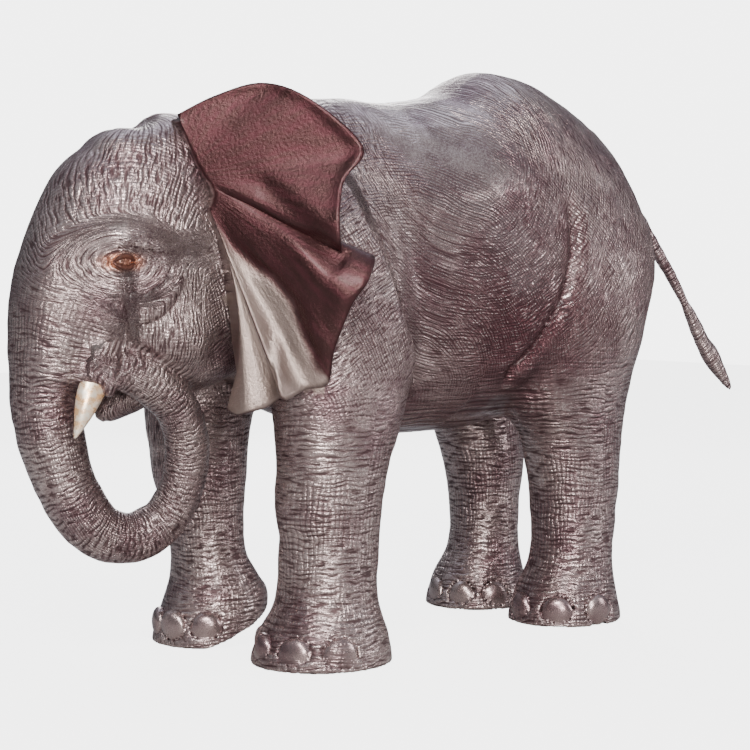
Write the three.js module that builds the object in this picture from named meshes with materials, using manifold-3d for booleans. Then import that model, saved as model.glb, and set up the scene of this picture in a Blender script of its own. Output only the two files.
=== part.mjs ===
// A life-size bronze calf of an African elephant, walking, with its trunk curled back to its mouth.
// Millimetres, +Z up. The calf faces -X and its left side is -Y. The origin is on the ground under
// the middle of its bounding box. The bronze is one casting; each tusk is a separate casting of its own
// metal, set in a socket beside the trunk.
import * as THREE from "three";
import { mergeVertices } from "three/addons/utils/BufferGeometryUtils.js";
import Module from "manifold-3d";

const wasm = await Module();
wasm.setup();

// Driving dimensions.
const BACK_HEIGHT = 1300; // ground to the top of the hips
const HEAD_TURN = 18; // degrees that the head is turned to the calf's right
const NECK_PIVOT = [-400, 0, 0]; // the head turns about a vertical line through this point
const EAR_ROOT = [-200, -160]; // where the left ear's plane meets the side of the head
const EAR_THICK = 16;
const EAR_EMBED = 75; // how far the root of each ear runs into the head
const LEFT_EAR_FLARE = 38; // degrees that the left ear stands out from the head
const RIGHT_EAR_FLARE = 18; // the right ear lies closer to the neck
const RIGHT_EAR_DROP = 45; // and hangs lower
const SOCKET_GAP = 0.3; // clearance all round a tusk in its socket

const ACROSS = new THREE.Vector3(0, 1, 0);
const DOWN = new THREE.Vector3(0, 0, -1);
const FORWARD = new THREE.Vector3(-1, 0, 0);

// Catmull-Rom value at t (0 to 1) through rows of numbers.
function blendRows(rows, t) {
  const last = rows.length - 1;
  const k = Math.min(Math.floor(t * last), last - 1);
  const f = t * last - k;
  const row = (i) => rows[Math.min(Math.max(i, 0), last)];
  return row(k).map((b, i) => {
    const [a, c, d] = [row(k - 1)[i], row(k + 1)[i], row(k + 2)[i]];
    return 0.5 * (2 * b + (c - a) * f + (2 * a - 5 * b + 4 * c - d) * f * f
      + (3 * b - a - 3 * c + d) * f * f * f);
  });
}

// A closed skin through rings of points, with a flat fan on each end.
function skin(rings) {
  const sides = rings[0].length;
  const position = rings.flat().flatMap((p) => [p.x, p.y, p.z]);
  const index = [];
  for (let r = 0; r + 1 < rings.length; r++) {
    for (let s = 0; s < sides; s++) {
      const a = r * sides + s;
      const b = r * sides + (s + 1) % sides;
      index.push(a, b, a + sides, b, b + sides, a + sides);
    }
  }
  for (const [r, flip] of [[0, true], [rings.length - 1, false]]) {
    const centre = new THREE.Vector3();
    rings[r].forEach((p) => centre.addScaledVector(p, 1 / sides));
    const c = position.length / 3;
    position.push(centre.x, centre.y, centre.z);
    for (let s = 0; s < sides; s++) {
      const a = r * sides + s;
      const b = r * sides + (s + 1) % sides;
      index.push(...(flip ? [b, a, c] : [a, b, c]));
    }
  }
  const geometry = new THREE.BufferGeometry();
  geometry.setAttribute("position", new THREE.Float32BufferAttribute(position, 3));
  geometry.setIndex(index);
  return geometry;
}

// A loft through stations [x, y, z, half width across, half size ahead, half size behind, tilt]. The
// rings are square to `heading`, or to the path where no heading is given, then tilted by degrees.
// Going down, ahead is towards the head; going forward, ahead is up.
function loft(stations, { sides = 16, steps = 18, heading = null, square = 2 } = {}) {
  const full = stations.map(([x, y, z, wide, ahead, behind = ahead, tilt = 0]) =>
    [x, y, z, wide, ahead, behind, tilt]);
  const rings = [];
  for (let i = 0; i <= steps; i++) {
    const t = i / steps;
    const [x, y, z, wide, ahead, behind, tilt] = blendRows(full, t);
    const before = blendRows(full, Math.max(t - 0.01, 0));
    const after = blendRows(full, Math.min(t + 0.01, 1));
    const along = heading
      ? heading.clone()
      : new THREE.Vector3(after[0] - before[0], after[1] - before[1], after[2] - before[2]);
    along.applyAxisAngle(ACROSS, THREE.MathUtils.degToRad(tilt));
    const front = new THREE.Vector3().crossVectors(ACROSS, along).normalize();
    const side = new THREE.Vector3().crossVectors(along, front).normalize();
    const ring = [];
    for (let s = 0; s < sides; s++) {
      const angle = (s / sides) * Math.PI * 2;
      const [c, d] = [Math.cos(angle), Math.sin(angle)];
      const round = Math.pow(Math.abs(c) ** square + Math.abs(d) ** square, -1 / square);
      ring.push(new THREE.Vector3(x, y, z)
        .addScaledVector(side, wide * c * round)
        .addScaledVector(front, (d > 0 ? ahead : behind) * d * round));
    }
    rings.push(ring);
  }
  return skin(rings);
}

function solid(geometry) {
  const bare = geometry.clone();
  bare.deleteAttribute("normal");
  bare.deleteAttribute("uv");
  const merged = mergeVertices(bare, 1e-3);
  const triVerts = new Uint32Array(merged.index.array);
  const vertProperties = merged.attributes.position.array;
  const made = new wasm.Manifold(new wasm.Mesh({ numProp: 3, vertProperties, triVerts }));
  if (made.volume() > 0) return made;
  for (let i = 0; i < triVerts.length; i += 3) {
    [triVerts[i + 1], triVerts[i + 2]] = [triVerts[i + 2], triVerts[i + 1]];
  }
  return new wasm.Manifold(new wasm.Mesh({ numProp: 3, vertProperties, triVerts }));
}

const joined = (solids) => solids.reduce((all, next) => all.add(next));

// Torso, from the neck to the rump: [x, top, widest height, bottom, half width].
const TORSO = [
  [-600, 1060, 930, 800, 90],
  [-530, 1130, 880, 660, 170],
  [-400, 1195, 830, 530, 235],
  [-220, 1218, 790, 470, 280],
  [-60, 1216, 765, 458, 305],
  [100, 1243, 760, 458, 312],
  [240, BACK_HEIGHT, 800, 480, 303],
  [385, 1268, 840, 520, 286],
  [520, 1196, 870, 590, 250],
  [612, 1095, 885, 680, 185],
  [668, 985, 885, 790, 80],
];
function torso() {
  const stations = TORSO.map(([x, top, middle, bottom, wide]) =>
    [x, 0, middle, wide, top - middle, middle - bottom]);
  return solid(loft(stations, { sides: 22, steps: 16, heading: FORWARD, square: 2.1 }));
}

// Legs: [x, y, z, half width, half depth ahead, half depth behind, tilt], shoulder or hip to sole.
const LEFT_HIND = [
  [410, -110, 1150, 60, 90],
  [420, -150, 1020, 118, 150],
  [420, -180, 860, 142, 205, 200],
  [375, -188, 700, 146, 222, 202],
  [360, -184, 560, 127, 205, 171],
  [378, -180, 440, 110, 130, 140],
  [388, -180, 330, 102, 106],
  [388, -180, 220, 98, 99],
  [380, -180, 140, 100, 100],
  [368, -180, 70, 116, 122],
  [362, -180, 20, 128, 134],
  [360, -180, -30, 130, 136],
];
const RIGHT_HIND = [
  [410, 110, 1150, 60, 90],
  [420, 150, 1020, 118, 150],
  [420, 175, 860, 142, 205, 200],
  [385, 172, 700, 140, 210, 215],
  [378, 155, 560, 118, 180, 175],
  [385, 138, 440, 100, 120, 130],
  [392, 128, 330, 92, 95],
  [392, 124, 220, 86, 86],
  [386, 122, 140, 90, 90],
  [374, 122, 70, 112, 114],
  [368, 122, 20, 122, 124],
  [366, 122, -30, 124, 126],
];
const LEFT_FRONT = [
  [-330, -110, 1120, 60, 100],
  [-345, -165, 980, 95, 140],
  [-355, -190, 820, 118, 165],
  [-365, -205, 660, 125, 172],
  [-378, -207, 520, 120, 150],
  [-390, -200, 390, 111, 118],
  [-392, -192, 240, 105, 106],
  [-395, -190, 130, 110, 112],
  [-403, -190, 65, 134, 138],
  [-410, -190, 20, 146, 152],
  [-412, -190, -30, 150, 156],
];
// The right forefoot is rolling off the ground: it stands on its toes with the heel raised.
const RIGHT_FRONT = [
  [-340, 110, 1120, 60, 100],
  [-370, 165, 960, 95, 140],
  [-400, 185, 800, 112, 155],
  [-430, 190, 640, 115, 150],
  [-450, 188, 500, 108, 125],
  [-450, 182, 380, 98, 104],
  [-440, 178, 270, 86, 86, 84, -4],
  [-436, 175, 190, 84, 86, 84, -12],
  [-430, 173, 120, 104, 112, 112, -18],
  [-434, 172, 70, 122, 134, 140, -21],
  [-438, 172, 30, 124, 138, 146, -21],
];
function legs() {
  return joined([LEFT_HIND, RIGHT_HIND, LEFT_FRONT, RIGHT_FRONT]
    .map((rows) => solid(loft(rows, { sides: 15, steps: 13, heading: DOWN, square: 2.1 }))));
}

// Toenails, low domes round the front of each foot: [foot centre x, y, half length of the foot, half
// width, height of the nails, half width of a nail, degrees from straight ahead towards the left].
const NAILS = [
  [-408, -190, 136, 132, 36, 33, [-58, -17, 25, 66]],
  [-438, 172, 112, 106, 46, 31, [-70, -30, 10, 52]],
  [364, -180, 121, 116, 36, 33, [-15, 36, 84]],
  [370, 122, 110, 108, 36, 30, [-20, 25, 68]],
];
function toenails() {
  const domes = [];
  for (const [x, y, long, wide, height, half, angles] of NAILS) {
    for (const degrees of angles) {
      const angle = THREE.MathUtils.degToRad(degrees);
      const dome = new THREE.SphereGeometry(1, 8, 5);
      dome.scale(0.9 * half, half, 0.95 * half);
      dome.rotateY(-0.25);
      dome.rotateZ(angle);
      dome.translate(x - long * Math.cos(angle), y - wide * Math.sin(angle), height);
      domes.push(solid(dome));
    }
  }
  return joined(domes);
}

// Head, before it is turned: [x, y, z, half width, half depth ahead, half depth behind].
const HEAD = [
  [-230, 0, 1172, 15, 20],
  [-232, 0, 1159, 68, 58, 80],
  [-250, 0, 1120, 118, 128, 130],
  [-275, 0, 1060, 148, 184, 180],
  [-295, 0, 980, 168, 214, 215],
  [-305, 0, 890, 176, 232, 230],
  [-290, 0, 780, 170, 240, 215],
  [-250, 0, 690, 150, 200, 175],
  [-220, 0, 618, 116, 130, 135],
  [-215, 0, 582, 40, 50, 50],
];
const TRUNK = [
  [-340, 0, 980, 100, 105],
  [-418, 0, 885, 116, 112],
  [-464, 0, 795, 112, 104],
  [-488, 0, 712, 98, 93],
  [-498, 0, 640, 86, 81],
  [-501, 0, 570, 76, 74],
  [-490, 0, 480, 68, 70],
  [-460, 0, 380, 62, 62],
  [-405, 0, 292, 58, 58],
  [-325, 0, 262, 53, 54],
  [-250, 0, 292, 50, 50],
  [-212, -12, 350, 48, 48],
  [-202, -32, 420, 47, 47],
  [-210, -55, 485, 47, 47],
  [-240, -80, 548, 47, 47],
  [-290, -98, 597, 47, 48],
  [-340, -105, 626, 46, 48],
  [-385, -108, 640, 40, 44],
];
// The upper lip, a broad flat-sided block between the trunk and the mouth.
const MUZZLE = [
  [-430, 0, 930, 110, 90, 150],
  [-448, 0, 850, 128, 110, 165],
  [-462, 0, 760, 122, 108, 150],
  [-472, 0, 690, 112, 96, 122],
  [-478, 0, 640, 104, 86, 102],
  [-480, 0, 612, 94, 76, 92],
  [-482, 0, 598, 70, 58, 70],
];
const CHIN = [
  [-190, 0, 630, 90, 40],
  [-280, 0, 592, 74, 42],
  [-340, 0, 560, 52, 34],
  [-376, 0, 532, 28, 22],
  [-385, 0, 518, 8, 8],
];
const FINGER = [
  [-370, -108, 640, 12, 12],
  [-392, -110, 632, 16, 16],
  [-400, -110, 612, 17, 15],
  [-398, -110, 590, 14, 12],
  [-392, -110, 578, 5, 5],
];
// The lip that wraps the root of the left tusk, and the tusk.
const LIP = [
  [-384, -68, 720, 30, 42],
  [-398, -80, 680, 36, 48],
  [-411, -86, 645, 36, 46],
  [-420, -90, 615, 30, 39],
  [-424, -92, 602, 23, 33],
];
const TUSK = [
  [-407, -83, 655, 18, 26],
  [-422, -91, 610, 20, 30],
  [-437, -98, 578, 19, 28],
  [-450, -103, 546, 15, 21],
  [-461, -106, 518, 9, 12],
  [-469, -107, 498, 4, 5],
  [-471, -107, 492, 1, 1],
];
function tusk(spare) {
  const stations = TUSK.map(([x, y, z, wide, deep], i) =>
    [x, y, z + (i === 0 ? spare : 0), wide + spare, deep + spare]);
  return solid(loft(stations, { sides: 10, steps: 9 }));
}

// The left eye: a low mound, then the eyeball between an upper and a lower lid.
const EYE = [-386, -170, 858];
function eye() {
  const domes = [
    [6, 8, 4, 62, 22, 46],
    [0, -6, 0, 18, 14, 12],
    [2, -5, 15, 38, 15, 9],
    [2, -4, -14, 34, 14, 9],
  ].map(([x, y, z, long, deep, high]) => {
    const dome = new THREE.SphereGeometry(1, 8, 5);
    dome.scale(long, deep, high);
    dome.rotateZ(0.3);
    dome.translate(EYE[0] + x, EYE[1] + y, EYE[2] + z);
    return solid(dome);
  });
  return joined(domes);
}

// The left ear lies in an upright plane. Each row is one line of it, from where it leaves the head to
// the rim: [out at the head, height there, out at the rim, height there, rim forward of the plane].
// The last number makes the folds, which all fan out from the top of the ear's root.
const EAR = [
  [-52, 1152, -61, 1164, 0],
  [-35, 1110, 20, 1203, -12],
  [-22, 1080, 120, 1228, -30],
  [-13, 1058, 225, 1191, -18],
  [-4, 1043, 335, 1092, -25],
  [4, 1031, 299, 1017, 5],
  [13, 1023, 301, 900, 40],
  [19, 1012, 288, 857, -45],
  [22, 1006, 356, 871, -15],
  [24, 996, 356, 818, 30],
  [22, 989, 322, 767, 35],
  [19, 978, 280, 672, 12],
  [16, 972, 262, 605, -8],
  [13, 966, 218, 594, -5],
  [17, 954, 183, 571, 45],
  [26, 933, 166, 579, 0],
  [45, 890, 140, 557, 25],
  [62, 829, 105, 546, 40],
  [79, 757, 74, 539, 30],
  [86, 690, 48, 551, 10],
];
function ear(flareDegrees, drop) {
  const flare = THREE.MathUtils.degToRad(flareDegrees);
  const out = new THREE.Vector3(Math.cos(flare), -Math.sin(flare), 0);
  const forward = new THREE.Vector3(-Math.sin(flare), -Math.cos(flare), 0);
  const [rows, columns] = [6, 36];
  const rings = [];
  for (let j = 0; j <= columns; j++) {
    const [p0, z0, p1, z1, fold] = blendRows(EAR, j / columns);
    const front = [];
    const back = [];
    for (let i = -1; i <= rows; i++) {
      const u = Math.max(i, 0) / rows;
      const half = (EAR_THICK / 2) * (1.5 - 0.6 * u) * (i === rows ? 0.6 : 1);
      const middle = new THREE.Vector3(EAR_ROOT[0], EAR_ROOT[1], z0 + (z1 - z0) * u - drop)
        .addScaledVector(out, p0 + (p1 - p0) * u)
        .addScaledVector(forward, fold * Math.pow(u, 1.3));
      if (i < 0) middle.y += EAR_EMBED;
      front.push(middle.clone().addScaledVector(forward, half));
      back.unshift(middle.clone().addScaledVector(forward, -half));
    }
    rings.push([...front, ...back]);
  }
  return solid(skin(rings));
}

const acrossHead = (made) => made.mirror([0, 1, 0]);
const turned = (made) => made.rotate([0, 0, -HEAD_TURN]).translate(NECK_PIVOT);

// The forehead's two bumps and the dip behind them, ahead of the crown: [x, y, z, long, wide, high].
const FOREHEAD_BUMP = [-347, -52, 1094, 44, 62, 30];
const CROWN_DIP = [-314, 0, 1182, 34, 190, 45];

function ellipsoid([x, y, z, long, wide, high], sides, rings) {
  const ball = new THREE.SphereGeometry(1, sides, rings);
  ball.scale(long, wide, high);
  ball.translate(x, y, z);
  return solid(ball);
}

function head() {
  const lip = solid(loft(LIP, { sides: 10, steps: 5 }));
  const whole = joined([
    solid(loft(HEAD, { sides: 20, steps: 13, heading: DOWN, square: 2.2 })),
    solid(loft(TRUNK, { sides: 14, steps: 34 })),
    solid(loft(MUZZLE, { sides: 20, steps: 8, heading: DOWN, square: 2.8 })),
    solid(loft(CHIN, { sides: 12, steps: 6 })),
    solid(loft(FINGER, { sides: 8, steps: 6 })),
    lip,
    acrossHead(lip),
    ellipsoid(FOREHEAD_BUMP, 8, 5),
    acrossHead(ellipsoid(FOREHEAD_BUMP, 8, 5)),
    eye(),
    acrossHead(eye()),
    ear(LEFT_EAR_FLARE, 0),
    acrossHead(ear(RIGHT_EAR_FLARE, RIGHT_EAR_DROP)),
  ]);
  const socket = tusk(SOCKET_GAP);
  const dip = ellipsoid(CROWN_DIP, 10, 10);
  return turned(whole.subtract(dip).subtract(socket).subtract(acrossHead(socket)));
}

const TAIL = [
  [600, 0, 1080, 42, 38],
  [690, -10, 1050, 30, 28],
  [780, -35, 955, 20, 20],
  [868, -60, 830, 15, 15],
  [925, -80, 730, 12, 13],
  [957, -95, 660, 17, 20],
  [990, -110, 598, 20, 24],
  [1028, -125, 540, 10, 12],
  [1045, -130, 515, 3, 3],
];

const ground = new THREE.BoxGeometry(4000, 4000, 400);
ground.translate(0, 0, -200);
const bronze = joined([
  torso(),
  legs(),
  toenails(),
  head(),
  solid(loft(TAIL, { sides: 8, steps: 14 })),
]).subtract(solid(ground));

function meshOf(made, name, material) {
  const { numProp, vertProperties, triVerts } = made.getMesh();
  const geometry = new THREE.BufferGeometry();
  const position = new Float32Array((vertProperties.length / numProp) * 3);
  for (let i = 0; i < position.length / 3; i++) {
    for (let k = 0; k < 3; k++) position[i * 3 + k] = vertProperties[i * numProp + k];
  }
  geometry.setAttribute("position", new THREE.BufferAttribute(position, 3));
  geometry.setIndex(new THREE.BufferAttribute(triVerts, 1));
  geometry.computeVertexNormals();
  const mesh = new THREE.Mesh(geometry, material);
  mesh.name = name;
  return mesh;
}

const patina = new THREE.MeshStandardMaterial({ color: 0x4a3230, roughness: 0.42, metalness: 0.9 });
const paleGold = new THREE.MeshStandardMaterial({ color: 0xe8c79a, roughness: 0.25, metalness: 0.9 });
const elephant = new THREE.Group();
elephant.add(
  meshOf(bronze, "bronze_elephant", patina),
  meshOf(turned(tusk(0)), "tusk_left", paleGold),
  meshOf(turned(acrossHead(tusk(0))), "tusk_right", paleGold),
);
// The origin goes under the middle of the bounding box.
const middle = new THREE.Box3().setFromObject(elephant).getCenter(new THREE.Vector3());
elephant.position.set(-middle.x, -middle.y, 0);

export default elephant;
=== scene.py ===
"""A life-size bronze elephant calf: wrinkled cast skin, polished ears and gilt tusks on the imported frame."""
import math

import bpy
import numpy as np
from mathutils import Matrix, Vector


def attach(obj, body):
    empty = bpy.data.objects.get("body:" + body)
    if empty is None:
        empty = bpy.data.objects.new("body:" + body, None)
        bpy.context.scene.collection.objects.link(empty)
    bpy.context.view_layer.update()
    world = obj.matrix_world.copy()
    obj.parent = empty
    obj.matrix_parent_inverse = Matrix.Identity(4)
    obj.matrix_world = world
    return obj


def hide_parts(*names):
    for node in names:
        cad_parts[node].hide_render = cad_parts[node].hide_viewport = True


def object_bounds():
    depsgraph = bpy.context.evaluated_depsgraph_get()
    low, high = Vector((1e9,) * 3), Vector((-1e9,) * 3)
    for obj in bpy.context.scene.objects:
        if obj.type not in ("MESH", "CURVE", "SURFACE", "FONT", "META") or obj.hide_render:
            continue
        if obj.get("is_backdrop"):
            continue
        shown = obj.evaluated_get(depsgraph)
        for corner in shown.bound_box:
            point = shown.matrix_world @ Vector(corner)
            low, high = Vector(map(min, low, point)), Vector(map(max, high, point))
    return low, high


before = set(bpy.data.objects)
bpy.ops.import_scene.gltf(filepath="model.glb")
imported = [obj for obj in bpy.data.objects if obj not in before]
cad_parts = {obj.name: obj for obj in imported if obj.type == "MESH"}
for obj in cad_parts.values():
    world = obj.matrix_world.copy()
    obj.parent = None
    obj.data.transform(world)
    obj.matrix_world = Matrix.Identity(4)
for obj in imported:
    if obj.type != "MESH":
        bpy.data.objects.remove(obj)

import openvdb
from bpy.props import FloatProperty, FloatVectorProperty, IntProperty, PointerProperty
from mathutils import Vector
from mathutils.kdtree import KDTree

bl_info = {
    "name": "Bronze Elephant Calf",
    "version": (1, 0, 0),
    "blender": (4, 5, 0),
    "location": "3D View > Sidebar > Elephant",
    "description": "Models and finishes a life-size bronze elephant calf",
    "category": "Add Mesh",
}

CAD_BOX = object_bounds()
MM = 0.001
# The stations below are in millimetres about the statue's shoulders; this moves them to the origin that
# the frame uses, on the ground under the middle of the bounding box.
SHIFT = np.array([-45.64, 42.5, 0.0])
HEAD_TURN = math.radians(18)
NECK_PIVOT = np.array([-400.0, 0.0, 0.0])
BAND = 12  # voxels of signed distance kept on each side of a surface

# ---------------------------------------------------------------------------------------------------
# The same stations as the frame's solids.

TORSO = [
    (-600, 1060, 930, 800, 90),
    (-530, 1130, 880, 660, 170),
    (-400, 1195, 830, 530, 235),
    (-220, 1218, 790, 470, 280),
    (-60, 1216, 765, 458, 305),
    (100, 1243, 760, 458, 312),
    (240, 1300, 800, 480, 303),
    (385, 1268, 840, 520, 286),
    (520, 1196, 870, 590, 250),
    (612, 1095, 885, 680, 185),
    (668, 985, 885, 790, 80),
]
LEFT_HIND = [
    (410, -110, 1150, 60, 90),
    (420, -150, 1020, 118, 150),
    (420, -180, 860, 142, 205, 200),
    (375, -188, 700, 146, 222, 202),
    (360, -184, 560, 127, 205, 171),
    (378, -180, 440, 110, 130, 140),
    (388, -180, 330, 102, 106),
    (388, -180, 220, 98, 99),
    (380, -180, 140, 100, 100),
    (368, -180, 70, 116, 122),
    (362, -180, 20, 128, 134),
    (360, -180, -30, 130, 136),
]
RIGHT_HIND = [
    (410, 110, 1150, 60, 90),
    (420, 150, 1020, 118, 150),
    (420, 175, 860, 142, 205, 200),
    (385, 172, 700, 140, 210, 215),
    (378, 155, 560, 118, 180, 175),
    (385, 138, 440, 100, 120, 130),
    (392, 128, 330, 92, 95),
    (392, 124, 220, 86, 86),
    (386, 122, 140, 90, 90),
    (374, 122, 70, 112, 114),
    (368, 122, 20, 122, 124),
    (366, 122, -30, 124, 126),
]
LEFT_FRONT = [
    (-330, -110, 1120, 60, 100),
    (-345, -165, 980, 95, 140),
    (-355, -190, 820, 118, 165),
    (-365, -205, 660, 125, 172),
    (-378, -207, 520, 120, 150),
    (-390, -200, 390, 111, 118),
    (-392, -192, 240, 105, 106),
    (-395, -190, 130, 110, 112),
    (-403, -190, 65, 134, 138),
    (-410, -190, 20, 146, 152),
    (-412, -190, -30, 150, 156),
]
RIGHT_FRONT = [
    (-340, 110, 1120, 60, 100),
    (-370, 165, 960, 95, 140),
    (-400, 185, 800, 112, 155),
    (-430, 190, 640, 115, 150),
    (-450, 188, 500, 108, 125),
    (-450, 182, 380, 98, 104),
    (-440, 178, 270, 86, 86, 84, -4),
    (-436, 175, 190, 84, 86, 84, -12),
    (-430, 173, 120, 104, 112, 112, -18),
    (-434, 172, 70, 122, 134, 140, -21),
    (-438, 172, 30, 124, 138, 146, -21),
]
HEAD = [
    (-230, 0, 1172, 15, 20),
    (-232, 0, 1159, 68, 58, 80),
    (-250, 0, 1120, 118, 128, 130),
    (-275, 0, 1060, 148, 184, 180),
    (-295, 0, 980, 168, 214, 215),
    (-305, 0, 890, 176, 232, 230),
    (-290, 0, 780, 170, 240, 215),
    (-250, 0, 690, 150, 200, 175),
    (-220, 0, 618, 116, 130, 135),
    (-215, 0, 582, 40, 50, 50),
]
TRUNK = [
    (-340, 0, 980, 100, 105),
    (-418, 0, 885, 116, 112),
    (-464, 0, 795, 112, 104),
    (-488, 0, 712, 98, 93),
    (-498, 0, 640, 86, 81),
    (-501, 0, 570, 76, 74),
    (-490, 0, 480, 68, 70),
    (-460, 0, 380, 62, 62),
    (-405, 0, 292, 58, 58),
    (-325, 0, 262, 53, 54),
    (-250, 0, 292, 50, 50),
    (-212, -12, 350, 48, 48),
    (-202, -32, 420, 47, 47),
    (-210, -55, 485, 47, 47),
    (-240, -80, 548, 47, 47),
    (-290, -98, 597, 47, 48),
    (-340, -105, 626, 46, 48),
    (-385, -108, 640, 40, 44),
]
MUZZLE = [
    (-430, 0, 930, 110, 90, 150),
    (-448, 0, 850, 128, 110, 165),
    (-462, 0, 760, 122, 108, 150),
    (-472, 0, 690, 112, 96, 122),
    (-478, 0, 640, 104, 86, 102),
    (-480, 0, 612, 94, 76, 92),
    (-482, 0, 598, 70, 58, 70),
]
CHIN = [
    (-190, 0, 630, 90, 40),
    (-280, 0, 592, 74, 42),
    (-340, 0, 560, 52, 34),
    (-376, 0, 532, 28, 22),
    (-385, 0, 518, 8, 8),
]
FINGER = [
    (-370, -108, 640, 12, 12),
    (-392, -110, 632, 16, 16),
    (-400, -110, 612, 17, 15),
    (-398, -110, 590, 14, 12),
    (-392, -110, 578, 5, 5),
]
LIP = [
    (-384, -68, 720, 30, 42),
    (-398, -80, 680, 36, 48),
    (-411, -86, 645, 36, 46),
    (-420, -90, 615, 30, 39),
    (-424, -92, 602, 23, 33),
]
TUSK = [
    (-407, -83, 655, 18, 26),
    (-422, -91, 610, 20, 30),
    (-437, -98, 578, 19, 28),
    (-450, -103, 546, 15, 21),
    (-461, -106, 518, 9, 12),
    (-469, -107, 498, 4, 5),
    (-471, -107, 492, 1, 1),
]
TAIL = [
    (600, 0, 1080, 42, 38),
    (690, -10, 1050, 30, 28),
    (780, -35, 955, 20, 20),
    (868, -60, 830, 15, 15),
    (925, -80, 730, 12, 13),
    (957, -95, 660, 17, 20),
    (990, -110, 598, 20, 24),
    (1028, -125, 540, 10, 12),
    (1045, -130, 515, 3, 3),
]
# [foot centre x, y, half length, half width, height of the nails, half width of a nail, directions]
NAILS = [
    (-408, -190, 136, 132, 36, 33, (-58, -17, 25, 66)),
    (-438, 172, 112, 106, 46, 31, (-70, -30, 10, 52)),
    (364, -180, 121, 116, 36, 33, (-15, 36, 84)),
    (370, 122, 110, 108, 36, 30, (-20, 25, 68)),
]
EYE = np.array([-386.0, -170.0, 858.0])

# The left ear: [out at the head, height, out at the rim, height, rim forward of the ear's plane].
EAR_ROOT = (-200, -160)
EAR_THICK = 16
EAR_EMBED = 75
LEFT_EAR = {"flare": 38, "drop": 0}
RIGHT_EAR = {"flare": 18, "drop": 45}
EAR = [
    (-52, 1152, -61, 1164, 0),
    (-35, 1110, 20, 1203, -12),
    (-22, 1080, 120, 1228, -30),
    (-13, 1058, 225, 1191, -18),
    (-4, 1043, 335, 1092, -25),
    (4, 1031, 299, 1017, 5),
    (13, 1023, 301, 900, 40),
    (19, 1012, 288, 857, -45),
    (22, 1006, 356, 871, -15),
    (24, 996, 356, 818, 30),
    (22, 989, 322, 767, 35),
    (19, 978, 280, 672, 12),
    (16, 972, 262, 605, -8),
    (13, 966, 218, 594, -5),
    (17, 954, 183, 571, 45),
    (26, 933, 166, 579, 0),
    (45, 890, 140, 557, 25),
    (62, 829, 105, 546, 40),
    (79, 757, 74, 539, 30),
    (86, 690, 48, 551, 10),
]


# ---------------------------------------------------------------------------------------------------
# Curves and lofts.

def blend_rows(rows, t):
    """Catmull-Rom values at each t (0 to 1) through rows of numbers."""
    rows = np.asarray(rows, float)
    last = len(rows) - 1
    k = np.minimum((t * last).astype(int), last - 1)
    f = (t * last - k)[:, None]
    a, b, c, d = (rows[np.clip(k + i, 0, last)] for i in (-1, 0, 1, 2))
    bend = (2 * a - 5 * b + 4 * c - d) * f ** 2
    twist = (3 * b - a - 3 * c + d) * f ** 3
    return 0.5 * (2 * b + (c - a) * f + bend + twist)


def stations(rows):
    """Rows of [x, y, z, half width, half ahead, half behind, tilt], filled in where short."""
    return [(*row[:5], row[5] if len(row) > 5 else row[4], row[6] if len(row) > 6 else 0) for row in rows]


def path_axes(rows, t, heading):
    """Positions, sizes, and the front and side directions of the rings of a loft."""
    full = stations(rows)
    here = blend_rows(full, t)
    along = blend_rows(full, np.minimum(t + 0.01, 1)) - blend_rows(full, np.maximum(t - 0.01, 0))
    along = along[:, :3] if heading is None else np.tile(np.array(heading, float), (len(t), 1))
    turn = np.radians(here[:, 6])
    x, z = along[:, 0].copy(), along[:, 2].copy()
    along[:, 0] = x * np.cos(turn) + z * np.sin(turn)
    along[:, 2] = z * np.cos(turn) - x * np.sin(turn)
    front = np.cross((0, 1, 0), along)
    front /= np.linalg.norm(front, axis=1)[:, None]
    side = np.cross(along, front)
    side /= np.linalg.norm(side, axis=1)[:, None]
    return here, front, side


def skin(rings):
    """Vertices and triangles of a closed skin through rings of points."""
    count, sides = rings.shape[:2]
    ends = rings[[0, -1]].mean(axis=1)
    a = np.arange(count * sides).reshape(count, sides)[:-1]
    b = np.roll(a, -1, axis=1)
    tris = [np.stack([a, b, a + sides], -1), np.stack([b, b + sides, a + sides], -1)]
    tris = np.concatenate([part.reshape(-1, 3) for part in tris])
    first, last = np.arange(sides), np.arange(sides) + (count - 1) * sides
    fans = [np.stack([np.roll(first, -1), first, np.full(sides, count * sides)], -1),
            np.stack([last, np.roll(last, -1), np.full(sides, count * sides + 1)], -1)]
    return np.concatenate([rings.reshape(-1, 3), ends]), np.concatenate([tris, *fans])


def loft(rows, sides=40, steps=90, heading=None, square=2.0):
    here, front, side = path_axes(rows, np.linspace(0, 1, steps + 1), heading)
    angle = np.arange(sides) / sides * 2 * math.pi
    c, d = np.cos(angle), np.sin(angle)
    round_ = (np.abs(c) ** square + np.abs(d) ** square) ** (-1 / square)
    wide = here[:, 3:4] * (c * round_)
    deep = np.where(d > 0, here[:, 4:5], here[:, 5:6]) * (d * round_)
    rings = here[:, None, :3] + side[:, None] * wide[..., None] + front[:, None] * deep[..., None]
    return skin(rings)


def torso_rows():
    return [(x, 0, middle, wide, top - middle, middle - bottom) for x, top, middle, bottom, wide in TORSO]


def place(points):
    """From statue millimetres to frame metres."""
    return (np.asarray(points, float) + SHIFT) * MM


def place_head(points):
    """The same for points of the head, which is turned about the neck."""
    x, y, z = np.moveaxis(np.asarray(points, float), -1, 0)
    c, s = math.cos(HEAD_TURN), math.sin(HEAD_TURN)
    return place(np.stack([c * x + s * y, c * y - s * x, z], -1) + NECK_PIVOT)


def unplace_head(points):
    """From frame metres back to the head's own millimetres."""
    x, y, z = np.moveaxis(points / MM - SHIFT - NECK_PIVOT, -1, 0)
    c, s = math.cos(HEAD_TURN), math.sin(HEAD_TURN)
    return np.stack([c * x - s * y, s * x + c * y, z], -1)


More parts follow.
